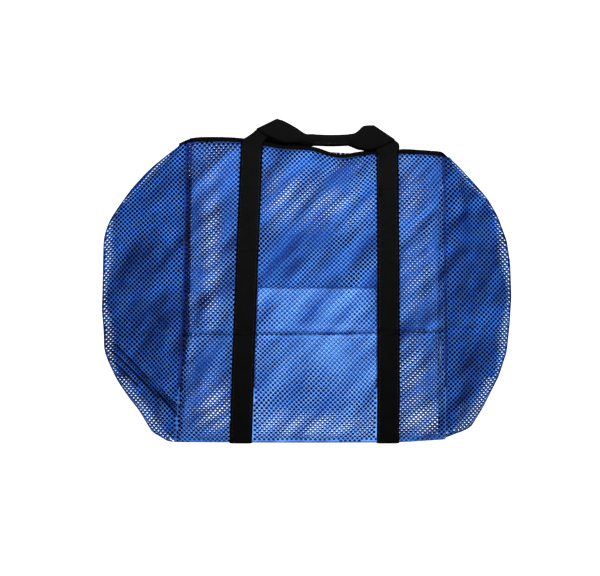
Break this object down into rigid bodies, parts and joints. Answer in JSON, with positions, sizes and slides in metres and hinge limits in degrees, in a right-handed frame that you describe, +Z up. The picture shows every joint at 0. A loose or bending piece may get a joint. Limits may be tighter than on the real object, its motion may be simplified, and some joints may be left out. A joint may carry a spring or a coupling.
{
  "type": "mesh laundry bag",
  "caption": "Zip-topped carry bag of open knitted mesh with wrap-around webbing straps, folding handles and patch pockets, standing half collapsed.",
  "frame": {"origin": "on the ground under the middle of the bag's box", "axes": "+Z up, the front faces -Y, +X to the right as seen from the front"},
  "size_m": [0.7118, 0.1179, 0.5575],
  "materials": {
    "mesh": "knitted polyester mesh with round holes, slight sheen",
    "binding": "flat woven tape",
    "webbing": "ribbed polypropylene webbing, matt",
    "zipper_tape": "woven tape, matt",
    "coil": "nylon coil, satin",
    "slider_metal": "black enamel, satin"
  },
  "bodies": {
    "bag": {"front_panel": "mesh", "rear_panel": "mesh", "base_panel": "mesh", "left_end_panel": "mesh", "right_end_panel": "mesh", "front_pocket": "mesh", "rear_pocket": "mesh", "left_seam_binding": "binding", "right_seam_binding": "binding", "front_zipper_tape": "zipper_tape", "rear_zipper_tape": "zipper_tape", "front_zipper_coil": "coil", "rear_zipper_coil": "coil", "zipper_stops": "coil", "front_left_strap": "webbing", "front_right_strap": "webbing", "rear_left_strap": "webbing", "rear_right_strap": "webbing"},
    "slider": {"zipper_slider": "slider_metal"},
    "pull": {"zipper_pull": "slider_metal"},
    "front_handle": {"front_handle_left": "webbing", "front_handle_right": "webbing", "front_grip": "webbing"},
    "rear_handle": {"rear_handle_left": "webbing", "rear_handle_right": "webbing", "rear_grip": "webbing"}
  },
  "joints": [
    {"name": "zip_slide", "type": "slide", "parent": "bag", "child": "slider", "axis": [0.9986, 0, -0.0524], "range_m": [-0.331, 0.0881]},
    {"name": "pull_turn", "type": "hinge", "parent": "slider", "child": "pull", "pos_m": [0.13868, 0, 0.50639], "axis": [0, 1, 0], "range_deg": [0, 178]},
    {"name": "front_handle_swing", "type": "hinge", "parent": "bag", "child": "front_handle", "pos_m": [0.02445, -0.0108, 0.50258], "axis": [0.9986, 0, -0.0524], "range_deg": [-8, 140]},
    {"name": "rear_handle_swing", "type": "hinge", "parent": "bag", "child": "rear_handle", "pos_m": [0.02445, 0.0108, 0.50258], "axis": [0.9986, 0, -0.0524], "range_deg": [-140, 8]}
  ]
}
